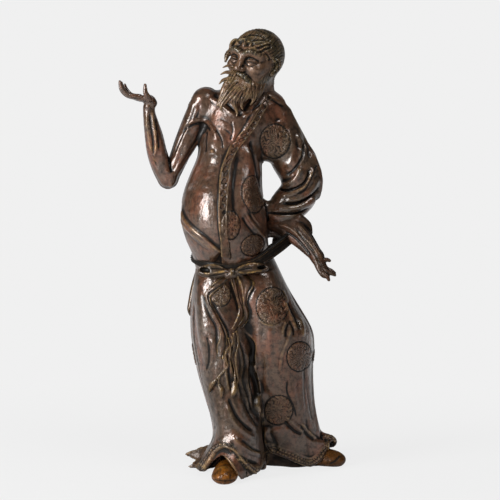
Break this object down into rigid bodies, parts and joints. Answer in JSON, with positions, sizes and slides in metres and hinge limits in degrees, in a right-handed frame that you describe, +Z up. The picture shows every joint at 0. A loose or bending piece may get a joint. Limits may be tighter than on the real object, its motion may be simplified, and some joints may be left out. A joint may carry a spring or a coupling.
{
  "type": "bronze figurine",
  "caption": "Standing cast-bronze figure of a bearded old man in a loose patterned robe with one arm raised, for display on a shelf or table.",
  "frame": {"origin": "middle of the figure's box at the floor", "axes": "+Z up, the figure faces -Y, its raised right hand is towards -X"},
  "size_m": [0.224, 0.1374, 0.4438],
  "materials": {
    "bronze_flesh": "dark brown patina, satin",
    "bronze_robe": "dark brown patina, satin, with worn edges",
    "bronze_sash": "dark brown patina, rubbed to gold on the edges",
    "bronze_shoe": "ochre brown patina, rubbed",
    "bronze_hair": "olive brown patina, satin",
    "bronze_pin": "filed flush"
  },
  "bodies": {
    "root": {"skirt_casting": "bronze_robe", "torso_casting": "bronze_flesh", "head_casting": "bronze_flesh", "beard_casting": "bronze_hair", "right_upper_arm": "bronze_flesh", "right_forearm": "bronze_flesh", "right_hand": "bronze_flesh", "left_sleeve": "bronze_robe", "left_forearm": "bronze_robe", "left_hand": "bronze_flesh", "sash_band": "bronze_sash", "sash_knot": "bronze_sash", "bow_left": "bronze_sash", "bow_right": "bronze_sash", "tail_left": "bronze_sash", "tail_right": "bronze_sash", "tail_middle": "bronze_sash", "cord_left": "bronze_sash", "cord_right": "bronze_sash", "tail_back": "bronze_sash", "lapel_trim": "bronze_sash", "shoe_right": "bronze_shoe", "shoe_left": "bronze_shoe", "pin_neck": "bronze_pin", "pin_right_shoulder": "bronze_pin", "pin_left_shoulder": "bronze_pin", "pin_elbow": "bronze_pin", "pin_cuff": "bronze_pin", "pin_right_wrist": "bronze_pin", "pin_left_wrist": "bronze_pin", "pin_beard": "bronze_pin", "pin_waist_right": "bronze_pin", "pin_waist_left": "bronze_pin", "pin_waist_back": "bronze_pin", "pin_shoe_right": "bronze_pin", "pin_shoe_left": "bronze_pin"}
  },
  "joints": []
}
